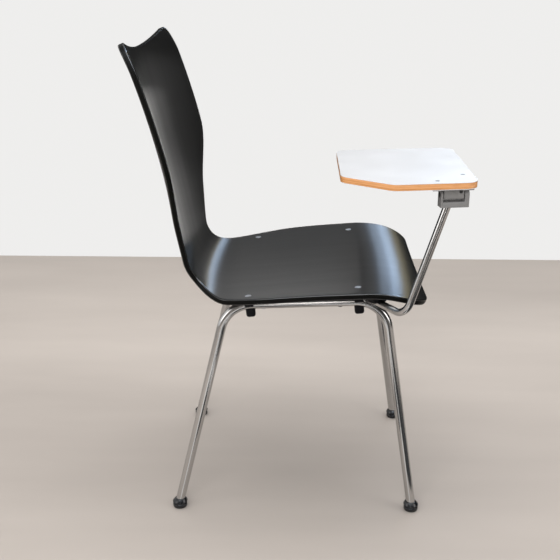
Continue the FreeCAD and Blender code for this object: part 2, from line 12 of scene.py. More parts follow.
import bpy
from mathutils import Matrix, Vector

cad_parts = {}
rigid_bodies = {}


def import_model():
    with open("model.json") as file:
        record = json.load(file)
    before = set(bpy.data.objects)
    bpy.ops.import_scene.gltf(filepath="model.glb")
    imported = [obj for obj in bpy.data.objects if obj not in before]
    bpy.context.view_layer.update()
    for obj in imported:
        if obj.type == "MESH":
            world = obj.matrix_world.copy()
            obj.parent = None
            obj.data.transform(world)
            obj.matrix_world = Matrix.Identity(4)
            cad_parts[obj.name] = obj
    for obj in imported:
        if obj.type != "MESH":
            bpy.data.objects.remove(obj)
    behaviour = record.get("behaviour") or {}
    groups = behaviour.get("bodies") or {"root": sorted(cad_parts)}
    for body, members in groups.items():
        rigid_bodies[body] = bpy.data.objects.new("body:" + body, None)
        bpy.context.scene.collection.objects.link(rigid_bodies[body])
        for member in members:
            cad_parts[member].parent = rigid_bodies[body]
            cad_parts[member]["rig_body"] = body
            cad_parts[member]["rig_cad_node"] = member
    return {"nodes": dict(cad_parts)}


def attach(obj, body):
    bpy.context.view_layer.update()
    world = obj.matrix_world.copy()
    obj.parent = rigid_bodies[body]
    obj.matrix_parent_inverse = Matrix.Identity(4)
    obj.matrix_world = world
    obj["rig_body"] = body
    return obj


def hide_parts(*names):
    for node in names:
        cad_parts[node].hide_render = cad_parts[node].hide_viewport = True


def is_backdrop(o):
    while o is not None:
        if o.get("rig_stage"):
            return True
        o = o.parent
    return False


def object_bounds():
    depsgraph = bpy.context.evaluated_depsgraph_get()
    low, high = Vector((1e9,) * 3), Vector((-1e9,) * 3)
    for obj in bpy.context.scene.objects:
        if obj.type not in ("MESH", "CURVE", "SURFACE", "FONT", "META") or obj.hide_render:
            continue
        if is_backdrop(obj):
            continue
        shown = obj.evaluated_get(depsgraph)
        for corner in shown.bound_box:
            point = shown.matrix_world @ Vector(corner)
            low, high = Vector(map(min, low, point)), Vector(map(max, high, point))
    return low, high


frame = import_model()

MM = 0.001
nodes = frame["nodes"]
cad_low, cad_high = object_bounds()
print("frame holds", len(nodes), "nodes in a box of", [round(v, 3) for v in cad_high - cad_low])

# %% [markdown]
# ## Helpers for modelling
# Operators act on whatever is selected, so each piece starts from an empty selection. A
# modifier is added, set and applied at once, which leaves a plain mesh behind. At the end a
# piece gets its finish, rides on a body of the frame and stands for the nodes it replaces.


# %% Selection, modifiers and handing over
def start_fresh():
    """Leave edit mode and let go of everything."""
    if bpy.context.object and bpy.context.object.mode != "OBJECT":
        bpy.ops.object.mode_set(mode="OBJECT")
    bpy.ops.object.select_all(action="DESELECT")


def pick(piece):
    start_fresh()
    piece.select_set(True)
    bpy.context.view_layer.objects.active = piece
    return piece


def named(name):
    """Name the object that an operator has just added."""
    piece = bpy.context.object
    piece.name = name
    piece.data.name = name
    return piece


def apply_modifier(piece, kind, **settings):
    pick(piece)
    modifier = piece.modifiers.new(kind.title(), kind)
    for name, value in settings.items():
        setattr(modifier, name, value)
    bpy.ops.object.modifier_apply(modifier=modifier.name)


def ease_edges(piece, width):
    """Round the sharp edges, and shade the rest smoothly."""
    sharp = math.radians(35)
    apply_modifier(piece, "BEVEL", width=width, segments=3, limit_method="ANGLE", angle_limit=sharp,
                   miter_outer="MITER_ARC")
    pick(piece)
    bpy.ops.object.shade_smooth_by_angle(angle=sharp)


def hand_over(piece, body, slot, materials, *replaced):
    """Give a finished piece its materials, its body and the nodes it stands for."""
    pick(piece)
    bpy.ops.object.transform_apply(location=True, rotation=True, scale=True)
    if list(piece.data.materials) != materials:
        piece.data.materials.clear()
        for material in materials:
            piece.data.materials.append(material)
    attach(piece, body)
    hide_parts(*replaced)
    print(piece.name, "has", len(piece.data.polygons), "faces and rides on", body)


# %% [markdown]
# ## Helpers for finishes
# Every finish is a Principled shader fed by a few noise textures. A number that is the same
# all over is set on the shader itself. Patterns are laid on Object coordinates, which are
# metres in the chair's own frame, or on a UV map where a grain has to follow a bent sheet.


# %% Building blocks of a finish
def new_finish(name, color, **sockets):
    material = bpy.data.materials.new(name)
    material.use_nodes = True
    tree = material.node_tree
    shader = tree.nodes["Principled BSDF"]
    shader.inputs["Base Color"].default_value = (*color, 1)
    for socket, value in sockets.items():
        shader.inputs[socket.replace("_", " ").title().replace("Ior", "IOR")].default_value = value
    return material, tree, shader


def place_pattern(tree, scale, uv_map=None):
    """Coordinates for a pattern: metres of the frame, or metres along a UV map, times a scale."""
    if uv_map:
        source = tree.nodes.new("ShaderNodeUVMap")
        source.uv_map = uv_map
        outlet = source.outputs["UV"]
    else:
        source = tree.nodes.new("ShaderNodeTexCoord")
        outlet = source.outputs["Object"]
    mapping = tree.nodes.new("ShaderNodeMapping")
    mapping.inputs["Scale"].default_value = scale
    tree.links.new(outlet, mapping.inputs["Vector"])
    return mapping.outputs["Vector"]


def noise(tree, vector, detail, roughness=0.5):
    """Noise whose size comes from the scale of its coordinates."""
    texture = tree.nodes.new("ShaderNodeTexNoise")
    texture.inputs["Scale"].default_value = 1.0
    texture.inputs["Detail"].default_value = detail
    texture.inputs["Roughness"].default_value = roughness
    tree.links.new(vector, texture.inputs["Vector"])
    return texture.outputs["Fac"]


def color_between(tree, factor, stops):
    """Colour ramp through (place, colour) stops."""
    ramp = tree.nodes.new("ShaderNodeValToRGB")
    points = ramp.color_ramp.elements
    while len(points) < len(stops):
        points.new(0.5)
    for point, (place, color) in zip(points, stops):
        point.position = place
        point.color = (*color, 1)
    tree.links.new(factor, ramp.inputs["Fac"])
    return ramp.outputs["Color"]


def value_between(tree, factor, low, high):
    """Number that follows the middle part of a noise's range."""
    remap = tree.nodes.new("ShaderNodeMapRange")
    remap.inputs["From Min"].default_value = 0.3
    remap.inputs["From Max"].default_value = 0.7
    remap.inputs["To Min"].default_value = low
    remap.inputs["To Max"].default_value = high
    tree.links.new(factor, remap.inputs["Value"])
    return remap.outputs["Result"]


def add_bump(tree, shader, height, distance, strength):
    bump = tree.nodes.new("ShaderNodeBump")
    bump.inputs["Distance"].default_value = distance
    bump.inputs["Strength"].default_value = strength
    tree.links.new(height, bump.inputs["Height"])
    tree.links.new(bump.outputs["Normal"], shader.inputs["Normal"])


def follow_grain(tree, shader, uv_map):
    """Stretch highlights along or across the lines of a UV map."""
    tangent = tree.nodes.new("ShaderNodeTangent")
    tangent.direction_type = "UV_MAP"
    tangent.uv_map = uv_map
    tree.links.new(tangent.outputs["Tangent"], shader.inputs["Tangent"])


# %% [markdown]
# ## Black lacquer
# The shell is beech plywood under a thin black lacquer, and the grain still shows as fine
# streaks that run from the front lip up to the top of the back. A noise stretched along the
# sheet's own UV map gives the streaks, so that they follow the bend. The same streaks
# stretch every highlight across them, so the lacquer is anisotropic. The sheet's edge shows
# the plies as faint lines, which come from a second UV map across the thickness. Between
# face and edge runs a sanded rim, which is glossier.


# %% Lacquered faces, edge and rim
def make_lacquer():
    material, tree, shader = new_finish("black_lacquer", (0.006, 0.006, 0.006), anisotropic=0.95,
                                        anisotropic_rotation=0.25, specular_ior_level=0.8)
    follow_grain(tree, shader, "grain")
    streaks = noise(tree, place_pattern(tree, (6, 420, 1), "grain"), 4.0, 0.6)
    broad = noise(tree, place_pattern(tree, (2, 30, 1), "grain"), 2.0)
    stops = [(0.32, (0.001, 0.001, 0.001)), (0.52, (0.004, 0.004, 0.004)), (0.72, (0.014, 0.014, 0.014))]
    tree.links.new(color_between(tree, streaks, stops), shader.inputs["Base Color"])
    tree.links.new(value_between(tree, broad, 0.29, 0.33), shader.inputs["Roughness"])
    add_bump(tree, shader, streaks, 0.00001, 0.3)
    return material


def make_lacquered_edge():
    material, tree, shader = new_finish("black_lacquer_edge", (0.003, 0.003, 0.003),
                                        specular_ior_level=0.08)
    plies = noise(tree, place_pattern(tree, (9, 0.4, 1), "plies"), 1.0)
    pores = noise(tree, place_pattern(tree, (900, 900, 900)), 2.0)
    stops = [(0.35, (0.002, 0.002, 0.002)), (0.65, (0.005, 0.005, 0.004))]
    tree.links.new(color_between(tree, plies, stops), shader.inputs["Base Color"])
    tree.links.new(value_between(tree, pores, 0.34, 0.46), shader.inputs["Roughness"])
    add_bump(tree, shader, plies, 0.00012, 0.6)
    return material


def make_lacquered_rim():
    material, tree, shader = new_finish("black_lacquer_rim", (0.004, 0.004, 0.004),
                                        specular_ior_level=0.7)
    wear = noise(tree, place_pattern(tree, (60, 60, 60)), 3.0)
    stops = [(0.35, (0.003, 0.003, 0.003)), (0.65, (0.007, 0.007, 0.006))]
    tree.links.new(color_between(tree, wear, stops), shader.inputs["Base Color"])
    tree.links.new(value_between(tree, wear, 0.18, 0.26), shader.inputs["Roughness"])
    return material


lacquer = make_lacquer()
lacquered_edge = make_lacquered_edge()
lacquered_rim = make_lacquered_rim()
shell_finishes = [lacquer, lacquered_edge, lacquered_rim]
print("made", [m.name for m in shell_finishes])

# %% [markdown]
# ## Metal finishes
# The bent tubes are chrome plated and polished round and round, which smears what they
# mirror along the tube. The cross tubes have plain chrome with a slight haze. The seat's
# screws are bright zinc and their inserts are brass. The pin and the tablet's screws are
# darker steel, and the hinge is a grey casting with the fine orange peel of its mould.


# %% Chrome, steel, brass and cast grey
def make_metal(name, color, roughness, haze, bump, metallic=1.0):
    material, tree, shader = new_finish(name, color, metallic=metallic)
    smudge = noise(tree, place_pattern(tree, (38, 38, 9)), 3.0)
    grain = noise(tree, place_pattern(tree, (1600, 1600, 1600)), 2.0)
    dull = [channel * 0.88 for channel in color]
    tree.links.new(color_between(tree, smudge, [(0.3, dull), (0.6, color)]), shader.inputs["Base Color"])
    tree.links.new(value_between(tree, smudge, roughness + haze, roughness), shader.inputs["Roughness"])
    add_bump(tree, shader, grain, bump, 0.4)
    return material


def make_tube_chrome():
    """Chrome whose polishing lines run round the tube, so that mirror images smear along it."""
    material, tree, shader = new_finish("polished_tube", (0.52, 0.515, 0.51), metallic=1.0,
                                        anisotropic=1.0)
    follow_grain(tree, shader, "along")
    smudge = noise(tree, place_pattern(tree, (9, 60, 1), "along"), 3.0)
    lines = noise(tree, place_pattern(tree, (2600, 20, 1), "along"), 2.0)
    stops = [(0.3, (0.47, 0.465, 0.46)), (0.6, (0.54, 0.535, 0.53))]
    tree.links.new(color_between(tree, smudge, stops), shader.inputs["Base Color"])
    tree.links.new(value_between(tree, smudge, 0.12, 0.09), shader.inputs["Roughness"])
    add_bump(tree, shader, lines, 0.000001, 0.3)
    return material


tube_chrome = make_tube_chrome()
chrome = make_metal("chrome_plate", (0.46, 0.455, 0.45), 0.035, 0.03, 0.000002)
bright_steel = make_metal("bright_zinc", (0.80, 0.80, 0.81), 0.36, 0.08, 0.00002)
dark_steel = make_metal("dark_steel", (0.12, 0.12, 0.12), 0.38, 0.10, 0.00002)
brass = make_metal("plain_brass", (0.65, 0.48, 0.22), 0.30, 0.10, 0.00002)
cast_grey = make_metal("cast_grey", (0.30, 0.30, 0.30), 0.46, 0.10, 0.00008, metallic=0.35)
print("made", [m.name for m in (tube_chrome, chrome, bright_steel, dark_steel, brass, cast_grey)])

# %% [markdown]
# ## Plastics and rubber
# The feet are black moulded plastic with a fine spark texture and some gloss. The saddles
# and bumpers under the seat are duller. The hinge's bearings are dark nylon and its stops
# are rubber.


# %% Moulded black, nylon and rubber
def make_plastic(name, color, roughness, specular):
    material, tree, shader = new_finish(name, color, specular_ior_level=specular)
    patch = noise(tree, place_pattern(tree, (160, 160, 160)), 3.0)
    spark = noise(tree, place_pattern(tree, (2200, 2200, 2200)), 2.0)
    light = [channel * 1.5 for channel in color]
    tree.links.new(color_between(tree, patch, [(0.35, color), (0.7, light)]), shader.inputs["Base Color"])
    uneven = value_between(tree, patch, roughness - 0.05, roughness + 0.06)
    tree.links.new(uneven, shader.inputs["Roughness"])
    add_bump(tree, shader, spark, 0.00004, 0.5)
    return material


moulded_black = make_plastic("moulded_black", (0.006, 0.007, 0.009), 0.18, 0.5)
spacer_black = make_plastic("spacer_black", (0.004, 0.004, 0.005), 0.55, 0.15)
dark_nylon = make_plastic("dark_nylon", (0.06, 0.06, 0.06), 0.45, 0.45)
stop_rubber = make_plastic("stop_rubber", (0.02, 0.02, 0.02), 0.75, 0.25)
print("made", [m.name for m in (moulded_black, spacer_black, dark_nylon, stop_rubber)])

# %% [markdown]
# ## Tablet finishes
# The tablet's top is a white laminate with a very slight blue cast. Its edge is bare beech
# plywood under clear lacquer: thin level plies, each with short streaks along its length.


# %% White laminate and beech edge
def make_laminate():
    material, tree, shader = new_finish("white_laminate", (0.78, 0.80, 0.83), specular_ior_level=0.4)
    cloud = noise(tree, place_pattern(tree, (14, 14, 14)), 3.0)
    peel = noise(tree, place_pattern(tree, (700, 700, 700)), 2.0)
    stops = [(0.3, (0.77, 0.79, 0.82)), (0.7, (0.79, 0.81, 0.84))]
    tree.links.new(color_between(tree, cloud, stops), shader.inputs["Base Color"])
    tree.links.new(value_between(tree, cloud, 0.30, 0.38), shader.inputs["Roughness"])
    add_bump(tree, shader, peel, 0.00002, 0.4)
    return material


def make_beech_edge():
    material, tree, shader = new_finish("beech_ply_edge", (0.60, 0.32, 0.11), specular_ior_level=0.35)
    plies = noise(tree, place_pattern(tree, (3, 3, 620)), 0.0)
    streaks = noise(tree, place_pattern(tree, (60, 60, 900)), 4.0, 0.6)
    layered = color_between(tree, plies, [(0.38, (0.66, 0.30, 0.10)), (0.62, (0.84, 0.43, 0.19))])
    flecks = color_between(tree, streaks, [(0.35, (0.80, 0.74, 0.68)), (0.6, (1.0, 1.0, 1.0))])
    mix = tree.nodes.new("ShaderNodeMix")
    mix.data_type = "RGBA"
    mix.blend_type = "MULTIPLY"
    mix.inputs["Factor"].default_value = 0.8
    tree.links.new(layered, mix.inputs["A"])
    tree.links.new(flecks, mix.inputs["B"])
    tree.links.new(mix.outputs["Result"], shader.inputs["Base Color"])
    tree.links.new(value_between(tree, streaks, 0.34, 0.5), shader.inputs["Roughness"])
    add_bump(tree, shader, streaks, 0.00006, 0.5)
    return material


laminate = make_laminate()
beech_edge = make_beech_edge()
print("made", laminate.name, "and", beech_edge.name)

# %% [markdown]
# ## Finishes for the pieces that stay as they are
# Most nodes already have the right shape, so they only take a finish. The name of a node
# says what it is made of.

# %% Give the nodes their finish
NODE_FINISH = {
    "side_frame": chrome,
    "cross_tube": chrome,
    "tablet_arm": chrome,
    "saddle": spacer_black,
    "bumper": spacer_black,
    "foot_cap": moulded_black,
    "glide_pad": moulded_black,
    "seat_shell": lacquer,
    "seat_screws": bright_steel,
    "seat_inserts": brass,
    "hinge_yoke": cast_grey,
    "hinge_leaf": cast_grey,
    "hinge_pin": dark_steel,
    "grub_screw": dark_steel,
    "tablet_screws": dark_steel,
    "hinge_washers": dark_nylon,
    "hinge_bush": dark_nylon,
    "stop_pads": stop_rubber,
    "tablet_board": beech_edge,
    "tablet_laminate": laminate,
    "tablet_backing": laminate,
}


def finish_of(node):
    return next(finish for words, finish in NODE_FINISH.items() if words in node)


for node_name, node in nodes.items():
    node.data.materials.clear()
    node.data.materials.append(finish_of(node_name))
print("finished", len(nodes), "nodes")

# %% [markdown]
# ## The bent shell
# In the factory a flat stack of veneers goes into a press and comes out as seat and back in
# one. Extruding rows by hand would give the bend, but not the hollow across it, the narrow
# waist and the rounded corners together. So a flat grid stands for the veneer, and a press
# function says where each spot of the sheet ends up. Solidify then gives the thickness, and
# a bevel eases the edge as sandpaper does.

# %% Sizes of the shell, in millimetres
shell_thickness = 10.0
seat_front_x = 229.5
lip_height = 428.0
lip_fall = 23.2
seat_slope = 5.7
waterfall_radius = 226.0
seat_flat_length = 239.5
bend_radius = 73.5
back_recline = 10.0
back_sweep_radius = 3700.0
back_length = 392.0
top_dip = 20.0
front_corner_radius = 54.0
top_corner_radius = 28.0
edge_round = 1.8

waterfall_length = waterfall_radius * math.radians(lip_fall + seat_slope)
bend_start = waterfall_length + seat_flat_length
bend_length = bend_radius * math.radians(90.0 - back_recline + seat_slope)
back_start = bend_start + bend_length
back_end = back_start + back_length
centre_runs = [
    (waterfall_length, -1.0 / waterfall_radius),
    (seat_flat_length, 0.0),
    (bend_length, 1.0 / bend_radius),
    (back_length, -1.0 / back_sweep_radius),
]

# Distance from the lip, width there, and depth of the hollow there
shell_stations = [
    (0.0, 449.0, 3.0),
    (waterfall_length + seat_flat_length / 2, 430.0, 10.5),
    (bend_start, 385.0, 7.0),
    (bend_start + 76.0, 282.0, 7.0),
    (back_start + 66.0, 356.0, 13.5),
    (back_start + 187.0, 473.0, 32.0),
    (back_end - 59.0, 468.0, 26.0),
    (back_end, 442.0, 16.0),
]
station_spots = [spot for spot, width, hollow in shell_stations]
station_halves = [width / 2 for spot, width, hollow in shell_stations]
station_hollows = [hollow for spot, width, hollow in shell_stations]
print("the sheet is", round(back_end), "mm long before it is bent")


# %% The press
def smooth_value(values, at):
    """Smooth curve through the stations' values, with no overshoot between them."""
    spots = station_spots
    last = len(spots) - 1
    steps = [(values[i + 1] - values[i]) / (spots[i + 1] - spots[i]) for i in range(last)]
    slopes = [steps[0]]
    for before, after in zip(steps, steps[1:]):
        slopes.append(2 * before * after / (before + after) if before * after > 0 else 0.0)
    slopes.append(steps[-1])
    i = 0
    while i < last - 1 and at > spots[i + 1]:
        i += 1
    span = spots[i + 1] - spots[i]
    t = (at - spots[i]) / span
    start = values[i] * (1 + 2 * t) * (1 - t) ** 2 + slopes[i] * span * t * (1 - t) ** 2
    end = values[i + 1] * t * t * (3 - 2 * t) + slopes[i + 1] * span * t * t * (t - 1)
    return start + end


def half_width(at):
    return smooth_value(station_halves, at)


def centre_line(at):
    """Point on the middle of the top face, and how steeply the sheet climbs there."""
    x, z, heading = seat_front_x, lip_height, math.radians(lip_fall)
    left = at
    for i, (length, turn) in enumerate(centre_runs):
        step = left if i == len(centre_runs) - 1 else min(left, length)
        after = heading + turn * step
        if turn == 0.0:
            x -= step * math.cos(heading)
            z += step * math.sin(heading)
        else:
            x -= (math.sin(after) - math.sin(heading)) / turn
            z -= (math.cos(after) - math.cos(heading)) / turn
        heading = after
        left -= step
    return Vector((x, 0, z)), heading


def pressed(at, y):
    """Where a spot of the flat sheet ends up on the top face of the shell."""
    centre, heading = centre_line(at)
    normal = Vector((math.sin(heading), 0, math.cos(heading)))
    hollow = smooth_value(station_hollows, at) * (y / half_width(at)) ** 2
    return (centre + Vector((0, y, 0)) + normal * hollow) * MM


# %% [markdown]
# The sheet's outline has two rounded corners at the lip, and at the top a hollow edge
# between two rounded corners. The rows of the grid bend towards the outline as they come
# near it, so that the edge is smooth and the faces stay even. A grid corner sits halfway
# round each rounded corner.

# %% Rows near the lip
level_off_in_corner = 6.0
front_depth = front_corner_radius / math.cos(math.radians(lip_fall - level_off_in_corner))
front_side = half_width(front_depth)


def lip_edge(y):
    """How far the outline lies behind the lip, across the sheet."""
    beyond = max(0.0, abs(y) - front_side + front_corner_radius) / front_corner_radius
    return front_depth * (1 - math.sqrt(max(0.0, 1 - beyond ** 2)))


def lip_spot(share, across):
    """Spot of the sheet in the rows from the lip, at share 0, back to the straight sides."""
    corner_y = front_side - front_corner_radius * (1 - math.sin(math.pi / 4))
    angle = math.pi / 4 * (1 + share)
    end_y = front_side - front_corner_radius * (1 - math.sin(angle))
    end_at = front_depth * (1 - math.cos(angle))
    middle_at = share * front_depth
    weight = (end_at - middle_at) / lip_edge(corner_y)
    return middle_at + weight * lip_edge(across * corner_y), across * end_y


print("the front corners end", round(front_depth, 1), "mm behind the lip")

# %% Rows near the top
top_half = half_width(back_end)
top_zone = 64.0


def top_parabola(y):
    return top_dip * ((y / top_half) ** 2 - 1)


def top_round():
    """Centre of a top corner's round, and the angles at which it meets the side and the top."""
    radius = top_corner_radius
    low_side = half_width(back_end - radius)
    flare = (top_half - low_side) / radius
    y = low_side - radius
    steps_to_settle = 30
    for _ in range(steps_to_settle):
        slope = 2 * top_dip * y / top_half ** 2
        square = math.hypot(1.0, slope)
        centre_y = y + radius * slope / square
        centre_up = top_parabola(y) - radius / square
        y += low_side + flare * (centre_up + radius) - radius * math.hypot(1.0, flare) - centre_y
    return centre_y, centre_up, -math.atan(flare), math.pi / 2 + math.atan(slope)


round_y, round_up, side_angle, top_angle = top_round()
mid_angle = (side_angle + top_angle) / 2
mid_y = round_y + top_corner_radius * math.cos(mid_angle)
leave_y = round_y + top_corner_radius * math.cos(top_angle)


def top_edge(y):
    """Rise of the outline at the top, across the sheet, above its lowest point."""
    if abs(y) < leave_y:
        return top_parabola(y) + top_dip
    return round_up + math.sqrt(top_corner_radius ** 2 - (abs(y) - round_y) ** 2) + top_dip


def top_spot(share, across):
    """Spot of the sheet in the rows below the top edge, which is share 1."""
    side_up = round_up + top_corner_radius * math.sin(side_angle)
    straight = top_zone + side_up
    path = share * (straight + top_corner_radius * (mid_angle - side_angle))
    if path < straight:
        end_up = path - top_zone
        end_y = half_width(back_end + end_up)
    else:
        angle = side_angle + (path - straight) / top_corner_radius
        end_up = round_up + top_corner_radius * math.sin(angle)
        end_y = round_y + top_corner_radius * math.cos(angle)
    middle_up = share * (top_zone - top_dip) - top_zone
    weight = (end_up - middle_up) / top_edge(mid_y)
    return back_end + middle_up + weight * top_edge(across * mid_y), across * end_y


print("the top corners start", round(leave_y, 1), "mm from the middle")

# %% Press the grid into the shell
lip_rows = 7
top_rows = 8
middle_rows = 94
columns = 44
rows = lip_rows + middle_rows + top_rows


def sheet_spot(row, across):
    """Distance from the lip and place across the sheet, for a row and a share from -1 to 1."""
    if row <= lip_rows:
        return lip_spot(row / lip_rows, across)
    if row >= lip_rows + middle_rows:
        return top_spot((row - lip_rows - middle_rows) / top_rows, across)
    share = (row - lip_rows) / middle_rows
    at = front_depth + share * (back_end - top_zone - front_depth)
    return at, across * half_width(at)


def make_shell():
    start_fresh()
    bpy.ops.mesh.primitive_grid_add(x_subdivisions=columns, y_subdivisions=rows, size=2)
    shell = named("plywood_shell")
    mesh = shell.data
    flat = []
    for vertex in mesh.vertices:
        row = round((vertex.co.y + 1) / 2 * rows)
        flat.append(sheet_spot(row, vertex.co.x))
        vertex.co = pressed(*flat[-1])
    grain = mesh.uv_layers[0]
    grain.name = "grain"
    for loop in mesh.loops:
        at, y = flat[loop.vertex_index]
        grain.data[loop.index].uv = (at * MM, y * MM)
    sheet_count = len(mesh.vertices)
    edge_slot = shell_finishes.index(lacquered_edge)
    rim_slot = shell_finishes.index(lacquered_rim)
    for material in shell_finishes:
        mesh.materials.append(material)
    apply_modifier(shell, "SOLIDIFY", thickness=shell_thickness * MM, offset=-1, use_even_offset=True,
                   material_offset_rim=edge_slot)
    plies = mesh.uv_layers.new(name="plies")
    for loop in mesh.loops:
        depth = 0.0 if loop.vertex_index < sheet_count else 1.0
        at = flat[loop.vertex_index % sheet_count][0]
        plies.data[loop.index].uv = (depth, at * MM)
    apply_modifier(shell, "BEVEL", width=edge_round * MM, segments=3, limit_method="ANGLE",
                   angle_limit=math.radians(50), use_clamp_overlap=False, material=rim_slot)
    pick(shell)
    bpy.ops.object.shade_smooth_by_angle(angle=math.radians(40))
    hand_over(shell, "chair", "black_lacquered_ply", shell_finishes, "seat_shell")
    return shell


shell = make_shell()
for i, finish in enumerate(shell_finishes):
    print(finish.name, "covers", sum(p.material_index == i for p in shell.data.polygons), "faces")

# %% [markdown]
# ## Bent tubes
# A bender draws a straight tube round a former. Here too the tube starts straight: a disc is
# pulled out ring by ring, and a UV map runs along it. A curve modifier then bends it to the
# tube's axis. The map stays with the tube, so the finish knows which way the tube runs. The
# left side frame is the right one mirrored, so it is a mirrored copy.

# %% Axes of the tubes, in millimetres
tube_sides = 40
arc_steps = 16
leg_diameter = 17.0
leg_bend = 60.0
rear_leg_end = (-219.73, -182.39, 13.5)
rear_corner = (-124.0, -164.5, 408.39)
front_corner = (157.0, -164.5, 420.17)
front_leg_end = (220.88, -182.41, 13.5)
leg_points = [rear_leg_end, rear_corner, front_corner, front_leg_end]
arm_diameter = 12.7
arm_bend = 30.0
arm_points = [(112.48, -156.09, 430.08), (181.66, -263.44, 430.08), (239.77, -263.44, 623.75)]


def tube_axis(points, bend):
    """Spots along straight runs that are joined by arcs."""
    points = [Vector(point) for point in points]
    spots = [points[0]]
    for before, corner, after in zip(points, points[1:], points[2:]):
        behind = (before - corner).normalized()
        ahead = (after - corner).normalized()
        half_turn = (math.pi - behind.angle(ahead)) / 2
        centre = corner + (behind + ahead).normalized() * bend / math.cos(half_turn)
        first = corner + behind * bend * math.tan(half_turn) - centre
        last = corner + ahead * bend * math.tan(half_turn) - centre
        for i in range(arc_steps + 1):
            spots.append(centre + first.slerp(last, i / arc_steps).normalized() * bend)
    return [spot * MM for spot in spots + [points[-1]]]


# %% Tubes
def straight_tube(name, radius, steps):
    """Closed tube along Z with a ring after each step, and a UV map that runs along it."""
    start_fresh()
    bpy.ops.mesh.primitive_circle_add(vertices=tube_sides, radius=radius, fill_type="NGON")
    tube = named(name)
    bpy.ops.object.mode_set(mode="EDIT")
    bpy.ops.mesh.select_all(action="SELECT")
    for step in steps:
        bpy.ops.mesh.extrude_region_move(TRANSFORM_OT_translate={"value": (0, 0, step)})
    bpy.ops.mesh.select_all(action="SELECT")
    bpy.ops.mesh.normals_make_consistent(inside=False)
    bpy.ops.object.mode_set(mode="OBJECT")
    mesh = tube.data
    along = mesh.uv_layers.new(name="along")
    for face in mesh.polygons:
        middle = math.atan2(face.center.y, face.center.x)
        for i in face.loop_indices:
            spot = mesh.vertices[mesh.loops[i].vertex_index].co
            turn = (math.atan2(spot.y, spot.x) - middle + math.pi) % math.tau - math.pi
            along.data[i].uv = (spot.z, (middle + turn) * radius)
    return tube


def bent_tube(name, points, bend, diameter):
    axis = tube_axis(points, bend)
    curve = bpy.data.curves.new(name + "_axis", "CURVE")
    curve.dimensions = "3D"
    run = curve.splines.new("POLY")
    run.points.add(len(axis) - 1)
    for point, spot in zip(run.points, axis):
        point.co = (*spot, 1)
    former = bpy.data.objects.new(name + "_axis", curve)
    bpy.context.scene.collection.objects.link(former)
    steps = [(after - before).length for before, after in zip(axis, axis[1:])]
    print(name, "is", round(sum(steps) / MM), "mm long before it is bent")
    tube = straight_tube(name, diameter / 2 * MM, steps)
    apply_modifier(tube, "CURVE", object=former, deform_axis="POS_Z")
    bpy.data.objects.remove(former)
    pick(tube)
    bpy.ops.object.shade_smooth_by_angle(angle=math.radians(50))
    return tube


# %% Side frames and arm
def mirrored_copy(piece, name):
    """Copy for the sitter's left, with a mesh of its own."""
    pick(piece)
    bpy.ops.object.duplicate(linked=False)
    twin = named(name)
    bpy.ops.object.mode_set(mode="EDIT")
    bpy.ops.mesh.select_all(action="SELECT")
    bpy.ops.transform.resize(value=(1, -1, 1), center_override=(0, 0, 0))
    bpy.ops.mesh.normals_make_consistent(inside=False)
    bpy.ops.object.mode_set(mode="OBJECT")
    return twin


right_tube = bent_tube("leg_tube_right", leg_points, leg_bend, leg_diameter)
arm_tube = bent_tube("writing_arm", arm_points, arm_bend, arm_diameter)
left_tube = mirrored_copy(right_tube, "leg_tube_left")
hand_over(right_tube, "chair", "chrome_tube", [tube_chrome], "side_frame_right")
hand_over(arm_tube, "chair", "chrome_tube", [tube_chrome], "tablet_arm")
hand_over(left_tube, "chair", "chrome_tube", [tube_chrome], "side_frame_left")

# %% [markdown]
# ## Feet
# Each leg stands in a moulded foot: a pad on the floor, a narrow groove, and a cap that leans
# with the tube. They are round, so a disc is pulled up ring by ring, and widened or narrowed
# on the way. The cap's mouth goes down again inside, because the tube stands in it. The feet
# on the left are mirrored copies too.

# %% Sizes of a foot, in millimetres
foot_sides = 48
foot_forward = {"front": 223.0, "rear": -223.0}
foot_aside = -183.0
leg_lean = {"front": -0.157, "rear": 0.2415}
inward_lean = 0.0446
groove_top = 10.5

# Height and diameter of each ring
pad_rings = [(0.0, 23.4), (0.7, 25.8), (2.2, 26.8), (5.0, 27.0), (7.6, 26.6), (8.5, 25.0)]
cap_rings = [(8.5, 24.0), (10.4, 24.0), (10.5, 27.0), (11.2, 28.0), (12.4, 28.0), (13.2, 27.0)]
cap_rings += [(18.2, 20.0), (18.5, 19.4), (18.5, 17.2), (15.5, 17.2)]
print("a foot is", max(height for height, width in cap_rings), "mm high")


# %% Feet
def turned(name, spot, rings, lean):
    """Round piece: a disc pulled up from ring to ring, leaning above the groove."""
    start_fresh()
    height, width = rings[0]
    centre = spot + Vector((0, 0, height))
    bpy.ops.mesh.primitive_circle_add(vertices=foot_sides, radius=width / 2 * MM, fill_type="NGON",
                                      location=centre * MM)
    piece = named(name)
    bpy.ops.object.transform_apply(location=True, rotation=True, scale=True)
    bpy.ops.object.mode_set(mode="EDIT")
    bpy.ops.mesh.select_all(action="SELECT")
    for next_height, next_width in rings[1:]:
        leaning = max(next_height, groove_top) - max(height, groove_top)
        step = lean * leaning + Vector((0, 0, next_height - height))
        centre += step
        grow = next_width / width
        bpy.ops.mesh.extrude_region_move(TRANSFORM_OT_translate={"value": step * MM})
        bpy.ops.transform.resize(value=(grow, grow, grow), center_override=centre * MM)
        height, width = next_height, next_width
    bpy.ops.mesh.select_all(action="SELECT")
    bpy.ops.mesh.normals_make_consistent(inside=False)
    bpy.ops.object.mode_set(mode="OBJECT")
    bpy.ops.object.shade_smooth_by_angle(angle=math.radians(50))
    return piece


